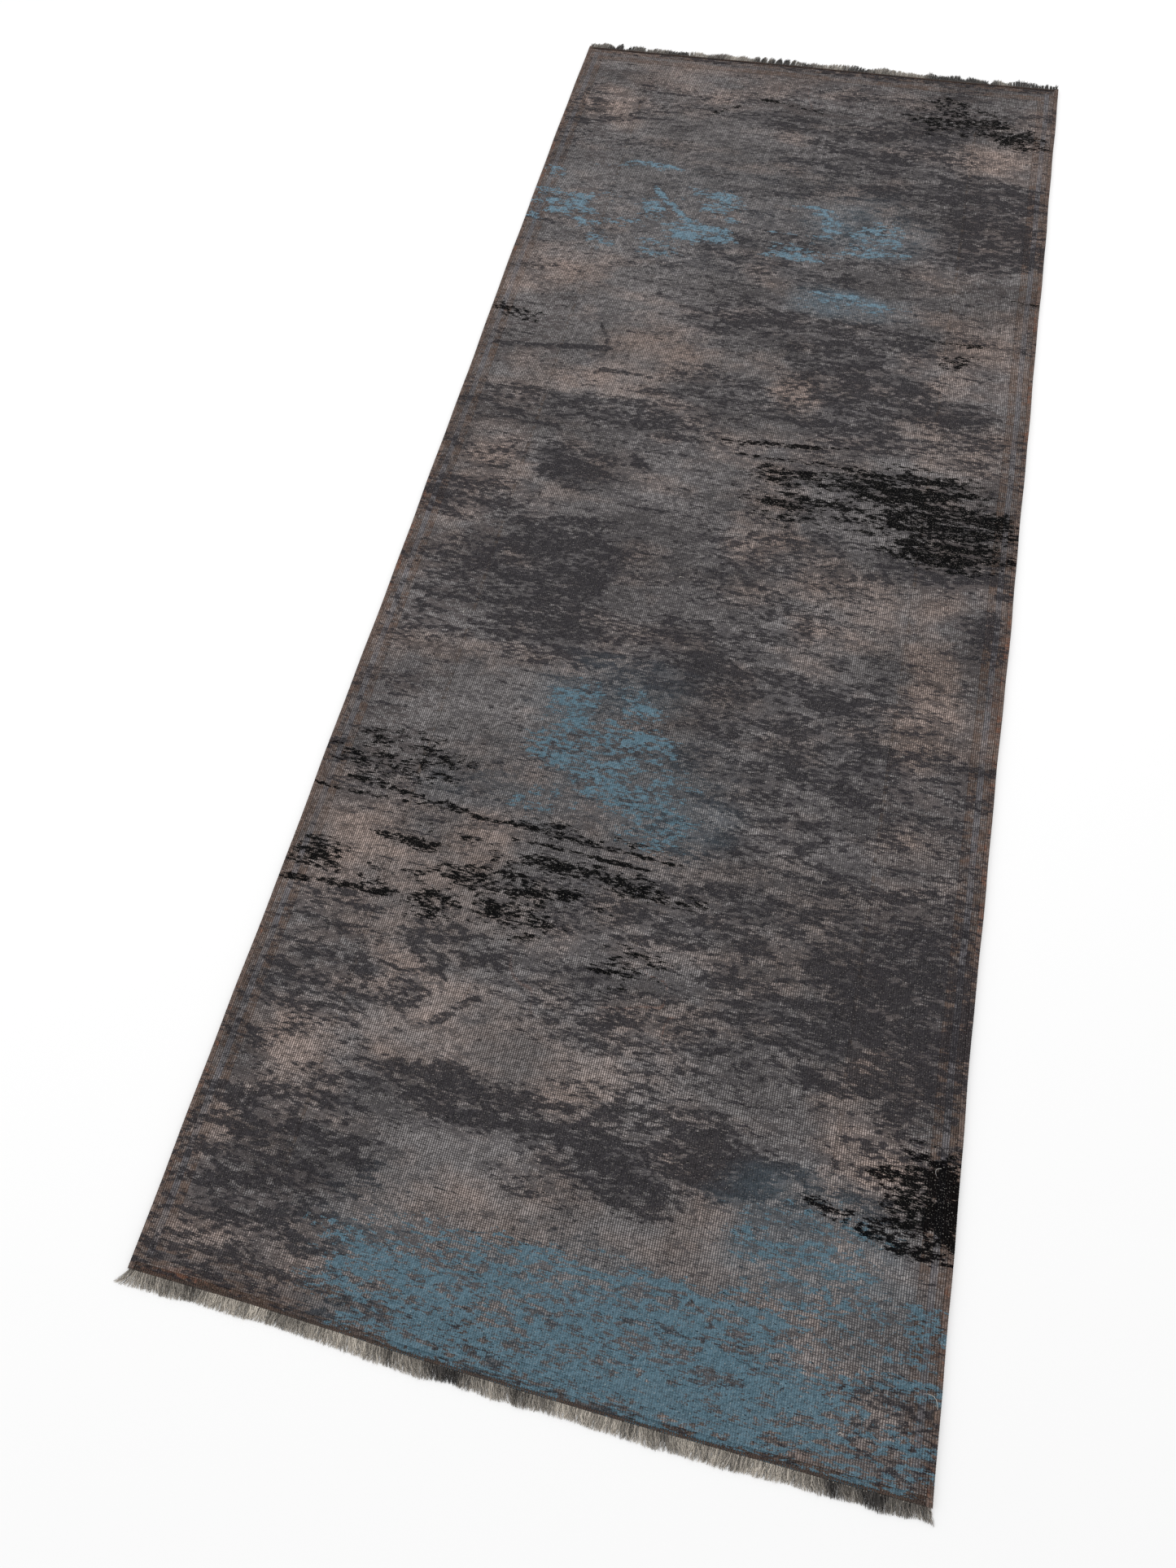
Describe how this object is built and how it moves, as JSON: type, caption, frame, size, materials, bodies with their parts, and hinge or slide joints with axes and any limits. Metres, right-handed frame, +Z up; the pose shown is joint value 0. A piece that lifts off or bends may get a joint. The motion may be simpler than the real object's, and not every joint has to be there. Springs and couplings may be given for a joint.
{
  "type": "runner rug",
  "caption": "Flat hand-knotted runner rug: woven foundation, sheared over-dyed pile in field, borders and guard lines, kilim ends, overcast selvedges and short fringes.",
  "frame": {"origin": "on the floor, under the middle of the rug's overall length and width", "axes": "+X across the rug to its right side, +Y along the warps to the far end, +Z up out of the pile"},
  "size_m": [0.8, 2, 0.005],
  "materials": {
    "foundation_wool": "undyed cotton and wool warps and wefts, greyed by the over-dye, matt",
    "field_pile": "sheared and distressed over-dyed wool pile, grey with slate-blue and black patches, matt",
    "border_pile": "sheared over-dyed wool pile, warm grey, matt",
    "guard_pile": "sheared over-dyed wool pile, dark brown, matt",
    "pale_pile": "sheared wool pile, pale grey-blue, matt",
    "overcast_yarn": "overcast wool yarn, grey-brown, matt",
    "core_warps": "bundled cotton warps, off-white, matt",
    "kilim_yarn": "flat-woven wool, dark brown, matt",
    "lock_stitch_yarn": "dark locking stitches in wool yarn, matt",
    "fringe_yarn": "cut cotton warp ends, grey-beige, matt"
  },
  "bodies": {
    "root": {"foundation_cloth": "foundation_wool", "field_pile": "field_pile", "outer_guard_left": "guard_pile", "outer_guard_right": "guard_pile", "outer_guard_near": "guard_pile", "outer_guard_far": "guard_pile", "pale_line_left": "pale_pile", "pale_line_right": "pale_pile", "pale_line_near": "pale_pile", "pale_line_far": "pale_pile", "inner_guard_left": "guard_pile", "inner_guard_right": "guard_pile", "inner_guard_near": "guard_pile", "inner_guard_far": "guard_pile", "main_border_left": "border_pile", "main_border_right": "border_pile", "main_border_near": "border_pile", "main_border_far": "border_pile", "inner_line_left": "guard_pile", "inner_line_right": "guard_pile", "inner_line_near": "guard_pile", "inner_line_far": "guard_pile", "overcast_wrap_left": "overcast_yarn", "selvedge_core_left": "core_warps", "overcast_wrap_right": "overcast_yarn", "selvedge_core_right": "core_warps", "kilim_band_near": "kilim_yarn", "lock_stitch_near": "lock_stitch_yarn", "fringe_near": "fringe_yarn", "kilim_band_far": "kilim_yarn", "lock_stitch_far": "lock_stitch_yarn", "fringe_far": "fringe_yarn"}
  },
  "joints": []
}
